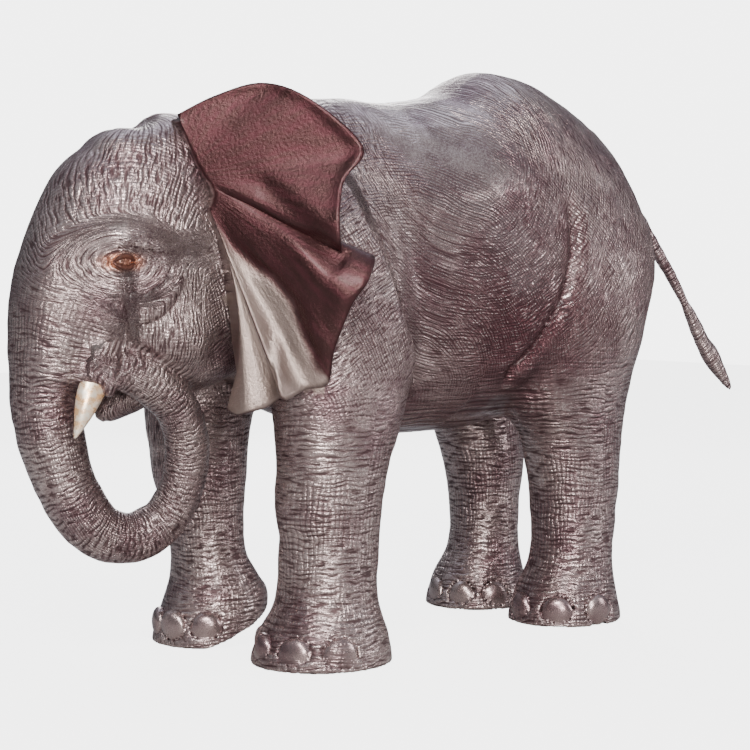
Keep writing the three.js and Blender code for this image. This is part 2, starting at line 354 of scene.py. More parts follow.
def across(rows):
    """The same rows on the other side."""
    return [(row[0], -row[1], *row[2:]) for row in rows]


# ---------------------------------------------------------------------------------------------------
# Clay: a signed-distance field that closed skins are melted into.

class Clay:
    def __init__(self, low, high, pitch):
        self.pitch = pitch
        self.base = np.floor(np.array(low) / pitch).astype(int)
        size = np.ceil((np.array(high) - np.array(low)) / pitch).astype(int)
        self.far = BAND * pitch
        self.field = np.full(size, self.far, np.float32)
        self.transform = openvdb.createLinearTransform(voxelSize=pitch)

    def window(self, low, high):
        """The slices of the field that a box with its band reaches."""
        first = np.floor((np.array(low) - self.far) / self.pitch).astype(int) - self.base
        last = np.ceil((np.array(high) + self.far) / self.pitch).astype(int) - self.base + 1
        first = np.clip(first, 0, self.field.shape)
        last = np.clip(last, 0, self.field.shape)
        return first, last

    def melt(self, first, last, other, radius, sign=1):
        """Joins a distance field to this one with a fillet of the radius, or cuts it out where sign is -1."""
        view = self.field[first[0]:last[0], first[1]:last[1], first[2]:last[2]]
        view *= sign
        blend = np.maximum(radius - np.abs(view - other), 0) / radius
        np.minimum(view, other, out=view)
        view -= blend * blend * (radius / 4)
        view *= sign

    def add(self, mesh, radius):
        """Melts a closed skin in."""
        points, tris = mesh
        first, last = self.window(points.min(0), points.max(0))
        level = openvdb.FloatGrid.createLevelSetFromPolygons(
            points.astype(np.float32), triangles=tris.astype(np.uint32),
            transform=self.transform, halfWidth=BAND)
        other = np.zeros(last - first, np.float32)
        level.copyToArray(other, ijk=tuple(int(v) for v in first + self.base))
        self.melt(first, last, other, radius)

    def ball(self, centre, radii, radius, cut=False, turn=0.0):
        """Adds or cuts an ellipsoid, turned about Z."""
        centre, radii = np.array(centre), np.array(radii)
        reach = np.full(3, radii.max())
        first, last = self.window(centre - reach, centre + reach)
        axes = [(np.arange(first[i], last[i]) + self.base[i]) * self.pitch - centre[i] for i in range(3)]
        x, y, z = np.meshgrid(*axes, indexing="ij", sparse=True)
        c, s = math.cos(turn), math.sin(turn)
        x, y = c * x + s * y, c * y - s * x
        near = np.sqrt((x / radii[0]) ** 2 + (y / radii[1]) ** 2 + (z / radii[2]) ** 2)
        steep = np.sqrt((x / radii[0] ** 2) ** 2 + (y / radii[1] ** 2) ** 2 + (z / radii[2] ** 2) ** 2)
        other = np.clip(near * (near - 1) / np.maximum(steep, 1e-6), -self.far, self.far)
        self.melt(first, last, other.astype(np.float32), radius, -1 if cut else 1)

    def floor(self):
        """Cuts the field off flat at the ground."""
        z = (np.arange(self.field.shape[2]) + self.base[2]) * self.pitch
        np.maximum(self.field, -z.astype(np.float32), out=self.field)

    def surface(self):
        """The points and quads of the zero level."""
        grid = openvdb.FloatGrid(self.far)
        grid.transform = self.transform
        grid.copyFromArray(self.field, ijk=tuple(int(v) for v in self.base))
        points, quads = grid.convertToQuads(0.0)
        return points.astype(float), quads.astype(np.int64)


def nail_domes():
    """Centre, half sizes and direction of each toenail."""
    for x, y, long, wide, height, half, directions in NAILS:
        for direction in directions:
            angle = math.radians(direction)
            centre = np.array((x - (long + 1) * math.cos(angle), y - (wide + 1) * math.sin(angle), height))
            yield centre, np.array((0.5, 1.02, 0.98)) * half * 1.08, angle


# Fillets, in metres, where the lumps and the toenails meet the skin.
LUMP_FILLET = 0.05
HEAD_FILLET = 0.03
NAIL_FILLET = 0.003
CUFF_FILLET = 0.005
CUFF_ROOM = 1.1  # size of the hollow round a toenail, over the nail's own
# The corners of the space that the clay is worked in, in metres.
CLAY_LOW = (-1.03, -0.42, -0.04)
CLAY_HIGH = (1.03, 0.44, 1.34)
# Knees and hocks: [centre, half sizes].
LUMPS = [
    ((-462, -205, 335), (40, 62, 60)),
    ((-505, 185, 385), (36, 52, 50)),
    ((442, -180, 330), (46, 60, 60)),
    ((440, 125, 330), (40, 50, 52)),
]
# The same in the head's frame: two bumps on the forehead, brows and cheeks.
HEAD_LUMPS = [
    ((-347, 52, 1094), (44, 62, 30)),
    ((-345, 124, 905), (66, 46, 24)),
    ((-250, 122, 700), (66, 44, 56)),
]
CROWN_DIP = ((-314, 0, 1182), (34, 190, 45))


def sculpt(pitch):
    """The whole calf without its ears, melted together."""
    clay = Clay(CLAY_LOW, CLAY_HIGH, pitch)
    down, forward = (0, 0, -1), (-1, 0, 0)

    def add(rows, radius, move=place, **options):
        points, tris = loft(rows, **options)
        clay.add((move(points), tris), radius)

    add(torso_rows(), 0.03, sides=56, steps=80, heading=forward, square=2.1)
    for leg in (LEFT_HIND, RIGHT_HIND, LEFT_FRONT, RIGHT_FRONT):
        add(leg, 0.03, heading=down, square=2.1)
    add(TAIL, 0.04, sides=20)
    add(HEAD, 0.035, place_head, heading=down, square=2.2)
    add(TRUNK[:9], 0.022, place_head)
    add(MUZZLE, 0.014, place_head, heading=down, square=2.8)
    add(CHIN, 0.03, place_head)
    for rows in (LIP, across(LIP)):
        add(rows, 0.02, place_head, sides=24, steps=30)
    add(TRUNK, 0.008, place_head, steps=160)
    add(FINGER, 0.008, place_head, sides=24, steps=30)
    for centre, radii, angle in nail_domes():
        clay.ball(place(centre), radii * CUFF_ROOM * MM, CUFF_FILLET, cut=True, turn=angle)
        clay.ball(place(centre), radii * MM, NAIL_FILLET, turn=angle)
    for centre, radii in LUMPS:
        clay.ball(place(centre), np.array(radii) * MM, LUMP_FILLET)
    for side in (1, -1):
        for centre, radii in HEAD_LUMPS:
            spot = place_head(np.multiply(centre, (1, side, 1)))
            clay.ball(spot, np.array(radii) * MM, HEAD_FILLET, turn=-HEAD_TURN)
    centre, radii = CROWN_DIP
    clay.ball(place_head(centre), np.array(radii) * MM, HEAD_FILLET, cut=True, turn=-HEAD_TURN)
    clay.floor()
    return clay.surface()


# ---------------------------------------------------------------------------------------------------
# Ears: thin sheets with a thick root, folds and a wavy rim.

def line_distance(points, line):
    """Distance of points from a polyline, the side seen along Y and the place along it, 0 to 1."""
    line = np.asarray(line, float)
    best = np.full(len(points), np.inf)
    side = np.zeros(len(points))
    where = np.zeros(len(points))
    for k, (a, b) in enumerate(zip(line[:-1], line[1:])):
        ab, ap = b - a, points - a
        f = np.clip(ap @ ab / (ab @ ab), 0, 1)
        gap = ap - f[:, None] * ab
        d = np.linalg.norm(gap, axis=1)
        near = d < best
        best[near] = d[near]
        where[near] = (k + f[near]) / (len(line) - 1)
        side[near] = np.sign(ab[0] * ap[near, -1] - ab[-1] * ap[near, 0])
    return best, side, where


def bell(distance, width):
    return np.exp(-(distance / width) ** 2)


def ease(low, high, value):
    """0 below low, 1 above high, smooth between."""
    f = np.clip((value - low) / (high - low), 0, 1)
    return f * f * (3 - 2 * f)


# [line of (out, height), raise, width, raise on the upper side only, width]
EAR_FOLDS = [
    ([(30, 1030), (120, 1015), (200, 950), (278, 873), (310, 850)], -10, 26, 5, 70),
    ([(0, 979), (60, 892), (110, 850), (149, 826), (190, 778), (218, 708), (250, 640)], -8, 16, 8, 60),
    ([(126, 997), (259, 826), (322, 771)], 9, 28, 0, 1),
    ([(140, 745), (163, 564)], -6, 11, 0, 1),
    ([(195, 780), (225, 660), (240, 520)], 12, 45, 0, 1),
    ([(149, 730), (179, 573)], 9, 8, 0, 1),
    ([(-62, 1175), (20, 1212), (130, 1236), (225, 1200), (340, 1092), (300, 1017), (303, 900)], 9, 14, 0, 1),
]


def ear_relief(out, height):
    flat = np.stack([out, height], -1).reshape(-1, 2)
    total = np.zeros(len(flat))
    for line, lift, width, upper, broad in EAR_FOLDS:
        d, side, where = line_distance(flat, line)
        fade = ease(0, 0.4, where) * ease(1.0, 0.9, where)
        total += fade * (lift * bell(d, width) + upper * bell(d, broad) * (side > 0) * (1 - bell(d, width)))
    return total.reshape(out.shape)


def ear_sheet(flare, drop, down=110, across_=36):
    """The left ear's skin in the head's millimetres, and the place of each vertex on it."""
    f = math.radians(flare)
    out_dir = np.array([math.cos(f), -math.sin(f), 0])
    ahead = np.array([-math.sin(f), -math.cos(f), 0])
    v = np.linspace(0, 1, down + 1)
    rows = blend_rows(EAR, v)
    u = np.linspace(0, 1, across_ + 1)
    out = rows[:, 0:1] + (rows[:, 2:3] - rows[:, 0:1]) * u
    height = rows[:, 1:2] + (rows[:, 3:4] - rows[:, 1:2]) * u
    fold = rows[:, 4:5] * u ** 1.3 + ear_relief(out, height) * ease(0.0, 0.12, u)
    rim = np.sqrt(np.clip(1 - ease(0.94, 1.0, u) * 0.75, 0, 1))
    half = EAR_THICK / 2 * (1.5 - 0.7 * u) * rim
    middle = out[..., None] * out_dir + fold[..., None] * ahead
    middle[..., :2] += EAR_ROOT
    middle[..., 2] = height - drop
    front, back = middle + half[:, None] * ahead, middle - half[:, None] * ahead
    inward = np.array([0, EAR_EMBED, 0])
    ring = [front[:, :1] + inward, front, back[:, ::-1], back[:, :1] + inward]
    points, tris = skin(np.concatenate(ring, axis=1))
    place_u = np.concatenate([[0], u, u[::-1], [0]])
    uv = np.stack(np.broadcast_arrays(place_u, v[:, None]), -1).reshape(-1, 2)
    return points, tris, np.concatenate([uv, [[0.5, 0], [0.5, 1]]])


def mirror(points, tris):
    return points * (1, -1, 1), tris[:, ::-1]


# ---------------------------------------------------------------------------------------------------
# Flow of the wrinkles: fields over the surface that rise by one from each wrinkle to the next.

# Millimetres from one wrinkle to the next on the limbs, the body and the face.
LINES = (10.5, 7.0, 8.0)

CELLS = 32  # cells of seeded noise before it repeats
_lattice = np.random.default_rng(7).random((CELLS, CELLS, CELLS))


def noise(points, size, seed=0):
    """Smooth seeded noise, -1 to 1, in cells of the given size."""
    p = points / size + 17.3 * seed
    cell = np.floor(p).astype(int)
    f = p - cell
    f = f * f * (3 - 2 * f)
    total = np.zeros(len(p))
    for corner in np.ndindex(2, 2, 2):
        pick = [(cell[:, i] + corner[i]) % CELLS for i in range(3)]
        weight = np.prod([f[:, i] if corner[i] else 1 - f[:, i] for i in range(3)], axis=0)
        total += weight * _lattice[pick[0], pick[1], pick[2]]
    return total * 2 - 1


def trunk_place(head):
    """Arc length along the trunk's middle line (metres), closeness to its skin, and the offsets ahead and
    aside, for head points."""
    t = np.linspace(0, 1, 240)
    centre, front, side = path_axes(TRUNK, t, None)
    along = np.cross(front, side)
    length = np.concatenate([[0], np.cumsum(np.linalg.norm(np.diff(centre[:, :3], axis=0), axis=1))])
    arc = np.zeros(len(head))
    close = np.full(len(head), 9.0)
    ahead, aside = np.zeros(len(head)), np.zeros(len(head))
    reach = np.where(head[:, 0] < -140)[0]
    for chunk in np.array_split(reach, max(1, len(reach) // 20000)):
        gap = head[chunk][:, None] - centre[None, :, :3]
        ratio = np.linalg.norm(gap, axis=2) / centre[None, :, 3]
        k = ratio.argmin(axis=1)
        rows = np.arange(len(chunk))
        arc[chunk] = length[k] + (gap[rows, k] * along[k]).sum(1)
        close[chunk] = ratio[rows, k]
        ahead[chunk] = (gap[rows, k] * front[k]).sum(1)
        aside[chunk] = (gap[rows, k] * side[k]).sum(1)
    return arc * MM, close, ahead, aside


def leg_axis(x, y, z):
    """Offsets from the axis of the nearest leg."""
    best = np.full(len(x), 1e9)
    dx, dy = np.zeros(len(x)), np.zeros(len(x))
    for rows in (LEFT_HIND, RIGHT_HIND, LEFT_FRONT, RIGHT_FRONT):
        table = np.array([row[:3] for row in rows])[::-1]
        gap_x, gap_y = x - np.interp(z, table[:, 2], table[:, 0]), y - np.interp(z, table[:, 2], table[:, 1])
        gap = np.hypot(gap_x, gap_y)
        near = gap < best
        best[near], dx[near], dy[near] = gap[near], gap_x[near], gap_y[near]
    return dx, dy


# The rear edge of the shoulder: [height, x].
SHOULDER_EDGE = [(400, -300), (562, -172), (652, -225), (728, -275), (800, -299), (870, -320), (947, -345),
                 (1100, -380)]


def flow(points):
    """Fields over the skin: lines rise by one from each wrinkle to the next, along three families (limbs,
    body, face); cross does the same for the lines that cross them; around is the direction round a limb;
    share is how much of the skin each family has."""
    m = points / MM - SHIFT
    x, y, z = m.T
    head = unplace_head(points)
    wave = noise(points, 0.09, 1) * 5 + noise(points, 0.035, 2) * 2.2
    is_head = ease(-150, -235, head[:, 0])
    arc, close, front, side = trunk_place(head)
    on_trunk = ease(1.7, 1.25, close) * ease(0.16, 0.36, arc) * is_head
    leg_top = np.where(x > 0, 620, 560)
    on_leg = ease(leg_top + 120, leg_top - 120, z) * (1 - is_head)
    tail = ease(700, 740, x)
    on_limb = np.maximum(on_trunk, np.maximum(on_leg, tail))
    dx, dy = leg_axis(x, y, z)
    is_trunk = (on_trunk > 0.01) | (is_head > 0.5)
    limb = np.where(is_trunk, arc / MM, np.where(x > 700, x - z, z * 1.0)) + wave
    around = np.where(is_trunk[:, None], np.stack([front, side], -1), np.stack([dy, dx], -1))
    around /= np.maximum(np.linalg.norm(around, axis=1), 1e-6)[:, None]
    # The body: arcs about a point high on the flank, crossed by arcs about one below the belly.
    radius = np.hypot(x + 40, z - 1120)
    body = radius * (1 - 0.5 * on_leg) + 0.5 * on_leg * (1160 - z) + wave * 1.5
    spokes = np.hypot(x + 260, z - 480) + wave * 1.5
    calm = ease(230, 110, radius) * (1 - is_head)
    behind = np.interp(z, *zip(*SHOULDER_EDGE))
    shoulder = ease(12, -12, x - behind)
    body = body * (1 - shoulder) + (0.5 * x - 0.85 * z + 900 + wave) * shoulder
    spokes = spokes * (1 - shoulder) + (0.9 * x + 0.4 * z + wave) * shoulder
    # The face: a fan that runs together below the eye, upright lines on the cheek, rings about the eye.
    turn = np.arctan2(np.abs(head[:, 1]), -(head[:, 0] + 280))
    across_face = turn * 190
    fan_z, fan_x = z - 735, 190 - across_face
    face = np.arctan2(fan_z, fan_x) * 190 + wave
    spread = np.hypot(fan_z, fan_x)
    on_cheek = ease(185, 225, across_face) * ease(930, 840, z)
    face = face * (1 - on_cheek) + (540 - across_face + wave * 1.5) * on_cheek
    spread = spread * (1 - on_cheek) + (z + wave) * on_cheek
    eye_ring = np.hypot((across_face - 197) / 1.35, z - 857)
    at_eye = ease(105, 62, eye_ring)
    face = face * (1 - at_eye) + (eye_ring * 1.25 + wave * 1.3) * at_eye
    share = np.stack([on_limb, (1 - on_limb) * (1 - is_head), (1 - on_limb) * is_head], -1)
    lines = np.stack([limb / LINES[0], body / LINES[1], face / LINES[2]], -1)
    cross = np.stack([calm, spokes / LINES[1], spread / LINES[2]], -1)
    return lines, cross, np.concatenate([around, wave[:, None] / 12], -1), share


# ---------------------------------------------------------------------------------------------------
# Carving: creases and wrinkles moved along the normals.

CREASE_REACH = 150  # how far from its line's own box a crease still moves the skin
# [in the head's frame, line, groove depth, width, raise of the side behind or above (minus: of the other
# side), width of the raise]
CREASES = [
    (False, [(273, -267, 1038), (272, -291, 937), (265, -295, 875), (223, -301, 768), (151, -291, 671),
             (89, -273, 609), (87, -234, 557)], 14, 18, 14, 90),
    (False, [(-345, -267, 947), (-320, -293, 870), (-299, -301, 800), (-275, -304, 728), (-225, -275, 652),
             (-172, -212, 562)], 10, 14, -10, 45),
    (False, [(-288, -251, 966), (-287, -279, 892), (-272, -288, 828)], 6, 20, 0, 1),
    (False, [(67, -225, 547), (203, -145, 500), (250, -146, 441)], 8, 20, 0, 1),
    (True, [(-429, -184, 868), (-412, -184, 884), (-376, -179, 891), (-327, -173, 883), (-275, -173, 874)],
     6, 6, 7, 18),
    (True, [(-420, -182, 841), (-388, -161, 826), (-356, -168, 824), (-319, -173, 840)], 3.5, 5, -3, 10),
    (True, [(-412, -155, 822), (-379, -158, 793), (-339, -165, 789), (-297, -172, 816), (-276, -173, 857)],
     4, 6, -4, 14),
    (True, [(-358, -145, 725), (-311, -158, 737), (-270, -166, 774), (-244, -169, 823)], 5, 9, 5, 24),
    (True, [(-392, -157, 800), (-376, -152, 755), (-367, -139, 716), (-362, -132, 640)], 6, 9, -3, 20),
    (True, [(-337, -132, 684), (-282, -129, 647), (-226, -94, 606)], 5, 9, 0, 1),
]


# Depth in metres of the folds of a few wrinkles each, on the limbs, the body and the face.
FOLD_DEPTHS = (0.0016, 0.0009, 0.0012)


def carve(points):
    """How far each point of the skin moves out (metres), folds and wrinkles together."""
    m = points / MM - SHIFT
    head = unplace_head(points)
    total = np.zeros(len(points))
    for in_head, line, depth, width, lift, broad in CREASES:
        for mirrored in (1, -1):
            where = (head if in_head else m) * (1, mirrored, 1)
            low, high = np.min(line, 0) - CREASE_REACH, np.max(line, 0) + CREASE_REACH
            near = np.where(((where > low) & (where < high)).all(1))[0]
            d, side, along = line_distance(where[near], line)
            fade = ease(0, 0.15, along) * ease(1, 0.85, along)
            rise = abs(lift) * bell(d, broad) * ease(-0.3, 0.9, side * np.sign(lift) * d / width)
            total[near] += MM * fade * (rise - depth * bell(d, width))
    lines, cross, around, share = flow(points)
    # The folds are longer along the wrinkles than across them.
    for family, depth in enumerate(FOLD_DEPTHS):
        run = np.stack([cross[:, family] * 0.3, lines[:, family], around[:, 0] + around[:, 1]], -1)
        folds = noise(run, 3.1, 5 + family) + 0.5 * noise(run, 1.7, 8 + family)
        total += depth * share[:, family] * folds
    total += 0.003 * noise(points, 0.07, 3) + 0.001 * noise(points, 0.03, 4)
    return total


# ---------------------------------------------------------------------------------------------------
# Meshes.

def new_object(name, points, faces):
    """A smooth-shaded mesh object whose faces all have the same number of corners."""
    mesh = bpy.data.meshes.new(name)
    mesh.vertices.add(len(points))
    mesh.vertices.foreach_set("co", np.asarray(points, np.float32).ravel())
    sides = faces.shape[1]
    mesh.loops.add(faces.size)
    mesh.loops.foreach_set("vertex_index", faces.astype(np.int32).ravel())
    mesh.polygons.add(len(faces))
    mesh.polygons.foreach_set("loop_start", np.arange(0, faces.size, sides, dtype=np.int32))
    mesh.polygons.foreach_set("use_smooth", np.full(len(faces), True))
    mesh.update(calc_edges=True)
    made = bpy.data.objects.new(name, mesh)
    bpy.context.scene.collection.objects.link(made)
    return made


def apply(made, kind, **values):
    """Adds a modifier, applies it and checks that something is left."""
    modifier = made.modifiers.new("step", kind)
    for key, value in values.items():
        setattr(modifier, key, value)
    depsgraph = bpy.context.evaluated_depsgraph_get()
    result = bpy.data.meshes.new_from_object(made.evaluated_get(depsgraph))
    made.modifiers.clear()
    old, made.data = made.data, result
    bpy.data.meshes.remove(old)
    if not len(result.polygons):
        raise RuntimeError(f"{kind} left nothing of {made.name}")


def read(mesh):
    """The points and normals of a mesh's vertices."""
    points, normals = np.empty((2, len(mesh.vertices) * 3), np.float32)
    mesh.vertices.foreach_get("co", points)
    mesh.vertex_normals.foreach_get("vector", normals)
    return points.reshape(-1, 3).astype(float), normals.reshape(-1, 3).astype(float)


def keep(mesh, name, values):
    """Stores one vector or number a vertex."""
    values = np.asarray(values, np.float32)
    kind = "FLOAT_VECTOR" if values.ndim == 2 else "FLOAT"
    layer = mesh.attributes.new(name, kind, "POINT")
    layer.data.foreach_set("vector" if values.ndim == 2 else "value", values.ravel())


def triangle_count(mesh):
    mesh.calc_loop_triangles()
    return len(mesh.loop_triangles)


def ears(fine):
    """The skins of the left and the right ear, and each vertex's place on its ear."""
    down, across_ = (110, 36) if fine else (70, 20)
    points, tris, uv = ear_sheet(**LEFT_EAR, down=down, across_=across_)
    yield place_head(points), tris, uv
    points, tris, uv = ear_sheet(**RIGHT_EAR, down=down, across_=across_)
    points, tris = mirror(points, tris)
    yield place_head(points), tris, uv


def dome(centre, radii, rings=14, sides=24, turn=0.0):
    """A closed ellipsoid in the head's frame."""
    polar = np.linspace(0.06, math.pi - 0.06, rings + 1)[:, None]
    around = np.arange(sides) / sides * 2 * math.pi
    ball = np.stack([np.sin(polar) * np.cos(around), np.sin(polar) * np.sin(around),
                     np.cos(polar) * np.ones(sides)], -1) * radii
    c, s = math.cos(turn), math.sin(turn)
    x, y = ball[..., 0].copy(), ball[..., 1].copy()
    ball[..., 0], ball[..., 1] = c * x - s * y, s * x + c * y
    points, tris = skin(ball[::-1] + centre)
    return points, tris


def eye_parts():
    """Eyeball and lids of the left eye, in the head's frame."""
    yield dome(EYE + (0, -6, 0), (18, 14, 12), turn=0.3)
    out = np.array([math.sin(0.3), -math.cos(0.3), 0])
    along = np.array([math.cos(0.3), math.sin(0.3), 0])
    for lift, high in ((1, 13), (-1, 11)):
        rows = []
        for s in np.linspace(-1, 1, 11):
            spot = EYE + along * 27 * s + out * (16 * math.sqrt(max(0, 1 - (0.9 * s) ** 2)) - 2)
            spot = spot + (0, 0, lift * high * (1 - s * s) - 1.5)
            thick = 2 + 4.5 * (1 - s * s)
            rows.append((*spot, thick, thick))
        yield loft(rows, sides=14, steps=30)


ROUGH_PITCH = 0.009  # voxel size of a quick build, in metres
SOLE_HEIGHT = 0.002  # the skin below this stays flat on the ground


def build_calf(sizes):
    """Sculpts, carves and thins the body, then joins the ears and eyes to it."""
    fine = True
    points, quads = sculpt(sizes.pitch if fine else ROUGH_PITCH)
    calf = new_object("elephant_casting", points, quads)
    points, normals = read(calf.data)
    moved = points + normals * carve(points)[:, None]
    moved[:, 2] = np.where(points[:, 2] < SOLE_HEIGHT, points[:, 2], np.maximum(moved[:, 2], 0.0))
    calf.data.vertices.foreach_set("co", moved.astype(np.float32).ravel())
    calf.data.update()
    target = sizes.body_triangles if fine else sizes.body_triangles // 2
    apply(calf, "DECIMATE", ratio=min(1, target / triangle_count(calf.data)))
    extras = list(ears(fine))
    for points, tris in eye_parts():
        for shape in ((points, tris), mirror(points, tris)):
            extras.append((place_head(shape[0]), shape[1], None))
    for points, tris, _ in extras:
        part = new_object("part", points, tris)
        apply(calf, "BOOLEAN", operation="UNION", solver="MANIFOLD", object=part)
        bpy.data.objects.remove(part)
    calf.data.materials.clear()
    calf.data.polygons.foreach_set("use_smooth", np.ones(len(calf.data.polygons), bool))
    calf.data.polygons.foreach_set("material_index", np.zeros(len(calf.data.polygons), np.int32))
    dress(calf.data, extras[:2])
    return calf


EAR_SKIN = 0.0065  # a vertex this near to an ear's own skin, in metres, belongs to the ear
FLAP_FOLD = 1        # the fold of EAR_FOLDS below which the front flap is pale
DEEP_HOLLOW = 120    # curvature, in 1/m, that counts as a full hollow


def hollowness(mesh, points, normals):
    """Mean curvature at each vertex, from its edges: plus in a hollow, minus on a ridge."""
    edges = np.empty(len(mesh.edges) * 2, np.int32)
    mesh.edges.foreach_get("vertices", edges)
    a, b = edges.reshape(-1, 2).T
    ends, others = np.concatenate([a, b]), np.concatenate([b, a])
    gap = points[others] - points[ends]
    bend = (gap * normals[ends]).sum(1) / np.maximum((gap ** 2).sum(1), 1e-8)
    count = np.bincount(ends, minlength=len(points))
    return np.bincount(ends, weights=bend, minlength=len(points)) / np.maximum(count, 1)


def dress(mesh, ear_skins):
    """Stores the flow, the ears' own coordinates, the tints and the painted shade of the barrel on the
    finished mesh.
    """
    points, normals = read(mesh)
    lines, cross, around, share = flow(points)
    m = points / MM - SHIFT
    ear = np.zeros((len(points), 3))
    nail = np.zeros(len(points))
    for centre, radii, angle in nail_domes():
        gap = m - centre
        gap[:, 0], gap[:, 1] = (gap[:, 0] * math.cos(angle) + gap[:, 1] * math.sin(angle),
                                gap[:, 1] * math.cos(angle) - gap[:, 0] * math.sin(angle))
        nail = np.maximum(nail, ease(1.12, 1.04, np.linalg.norm(gap / radii, axis=1)))
    for skin_points, _, uv in ear_skins:
        tree = KDTree(len(skin_points))
        for k, spot in enumerate(skin_points):
            tree.insert(spot, k)
        tree.balance()
        low, high = skin_points.min(0) - 0.01, skin_points.max(0) + 0.01
        for k in np.where(((points > low) & (points < high)).all(1))[0]:
            _, nearest, gap = tree.find(points[k])
            if gap < EAR_SKIN:
                ear[k] = (*uv[nearest], 1)
    head = unplace_head(points)
    eye = np.hypot((head[:, 0] - EYE[0]) / 46, (head[:, 2] - EYE[2]) / 20)
    copper = ease(1.25, 0.5, eye) * ease(-150, -230, head[:, 0]) * (np.abs(head[:, 1]) > 120)
    # Painted shade: the middle of the barrel down to the belly, away from the key light, darkens towards
    # oxblood.
    barrel_shade = bell(np.hypot((m[:, 0] - 80) / 1.1, m[:, 2] - 700), 260) * (1 - ear[:, 2])
    far, side, _ = line_distance(ear_plane(head, LEFT_EAR["flare"]), EAR_FOLDS[FLAP_FOLD][0])
    grey = ear[:, 2] * ease(0, 25, -side * far)
    hollow = hollowness(mesh, points, normals)
    bare = np.maximum(nail, ear[:, 2])
    for name, values in (("lines", lines), ("cross", cross), ("around", around), ("ear", ear),
                         ("share", share * (1 - bare[:, None])),
                         ("tone", np.stack([copper, barrel_shade, grey], -1)),
                         ("hollow", np.clip(hollow / DEEP_HOLLOW, -1, 1))):
        keep(mesh, name, values)


def ear_plane(head, flare):
    """Head points as [out, height] on the plane of the ear."""
    f = math.radians(flare)
    gap = head.copy()
    gap[:, 1] = -np.abs(gap[:, 1])
    gap[:, :2] -= EAR_ROOT
    return np.stack([gap[:, 0] * math.cos(f) - gap[:, 1] * math.sin(f), head[:, 2]], -1)


# ---------------------------------------------------------------------------------------------------
# Shader node helpers.

class Tree:
    """Adds nodes to a node tree in the order they are written."""

    def __init__(self, tree):
        self.tree = tree
        self.count = 0

    def node(self, kind, **settings):
        made = self.tree.nodes.new(kind)
        made.location = (self.count % 12 * 190, -(self.count // 12) * 320)
        self.count += 1
        inputs = settings.pop("inputs", {})
        for key, value in settings.items():
            setattr(made, key, value)
        for key, value in inputs.items():
            self.feed(made.inputs[key], value)
        return made

    def feed(self, socket, value):
        if isinstance(value, bpy.types.NodeSocket):
            self.tree.links.new(value, socket)
        elif hasattr(socket.default_value, "__len__") and not hasattr(value, "__len__"):
            socket.default_value = [value] * len(socket.default_value)
        elif hasattr(value, "__len__") and len(socket.default_value) == 4:
            socket.default_value = (*tuple(value)[:3], 1)
        else:
            socket.default_value = value

    def math(self, operation, *values):
        made = self.node("ShaderNodeMath", operation=operation)
        for socket, value in zip(made.inputs, values):
            self.feed(socket, value)
        return made.outputs[0]

    def ramp(self, value, low, high, to_low=0.0, to_high=1.0):
        made = self.node("ShaderNodeMapRange", interpolation_type="SMOOTHSTEP", inputs={
            0: value, 1: low, 2: high, 3: to_low, 4: to_high})
        return made.outputs[0]

    def mix(self, factor, a, b):
        made = self.node("ShaderNodeMix", data_type="RGBA", inputs={0: factor, 6: a, 7: b})
        return made.outputs[2]

    def blend(self, factor, a, b):
        made = self.node("ShaderNodeMix", data_type="FLOAT", inputs={0: factor, 2: a, 3: b})
        return made.outputs[0]

    def attribute(self, name):
        return self.node("ShaderNodeAttribute", attribute_name=name).outputs["Vector"]

    def split(self, vector):
        return self.node("ShaderNodeSeparateXYZ", inputs={0: vector}).outputs

    def noise(self, vector, scale, detail=2, roughness=0.5):
        made = self.node("ShaderNodeTexNoise", inputs={
            "Vector": vector, "Scale": scale, "Detail": detail, "Roughness": roughness})
        return made.outputs["Fac"]


def group(name, inputs, outputs):
    """A shader node group with named sockets, and its tree helper."""
    made = bpy.data.node_groups.new(name, "ShaderNodeTree")
    for way, sockets in (("INPUT", inputs), ("OUTPUT", outputs)):
        for socket, (kind, default) in sockets.items():
            item = made.interface.new_socket(socket, in_out=way, socket_type="NodeSocket" + kind)
            if default is not None:
                item.default_value = default
    tree = Tree(made)
    return made, tree, tree.node("NodeGroupInput").outputs, tree.node("NodeGroupOutput").inputs


def wrinkle_group():
    """Grooves along one rising field, broken up and crossed by those of another; Height is 1 on a ridge."""
    made, tree, given, out = group("Wrinkles", {
        "Lines": ("Float", 0), "Cross": ("Float", 0), "Hatch": ("Float", 0.5), "Main": ("Float", 1),
    }, {"Height": ("Float", None)})

    def spot(across_, along, seed):
        return tree.node("ShaderNodeCombineXYZ", inputs={
            0: tree.math("MULTIPLY", given["Lines"], across_),
            1: tree.math("MULTIPLY", given["Cross"], along),
            2: seed}).outputs[0]

    def grooves(field, sway, sharp):
        shifted = tree.math("MULTIPLY_ADD", sway, 2.2, field)
        return tree.ramp(tree.math("PINGPONG", shifted, 0.5), 0.0, sharp)

    main = grooves(given["Lines"], tree.noise(spot(0.4, 0.2, 0.0), 1.0, 3), 0.4)
    threads = tree.ramp(tree.noise(spot(1.5, 0.3, 9.0), 1.0, 3), 0.33, 0.6)
    depth = tree.ramp(tree.noise(spot(0.5, 0.14, 4.0), 1.0, 2), 0.4, 0.6)
    main = tree.blend(tree.math("MULTIPLY_ADD", depth, 0.65, 0.3), main, threads)
    main = tree.blend(given["Main"], 1.0, main)
    second = grooves(given["Cross"], tree.noise(spot(0.2, 0.4, 2.0), 1.0, 3), 0.36)
    patch = tree.ramp(tree.noise(spot(0.06, 0.06, 6.0), 1.0, 2), 0.35, 0.6)
    patch = tree.math("MULTIPLY", given["Hatch"], patch)
    second = tree.blend(patch, 1.0, second)
    tree.feed(out["Height"], tree.math("MULTIPLY", main, second))
    return made


LIMB_LINES = 60       # lines along a limb, counted round it
WRINKLE_UNIT = 0.001  # metres of relief for a depth of 1


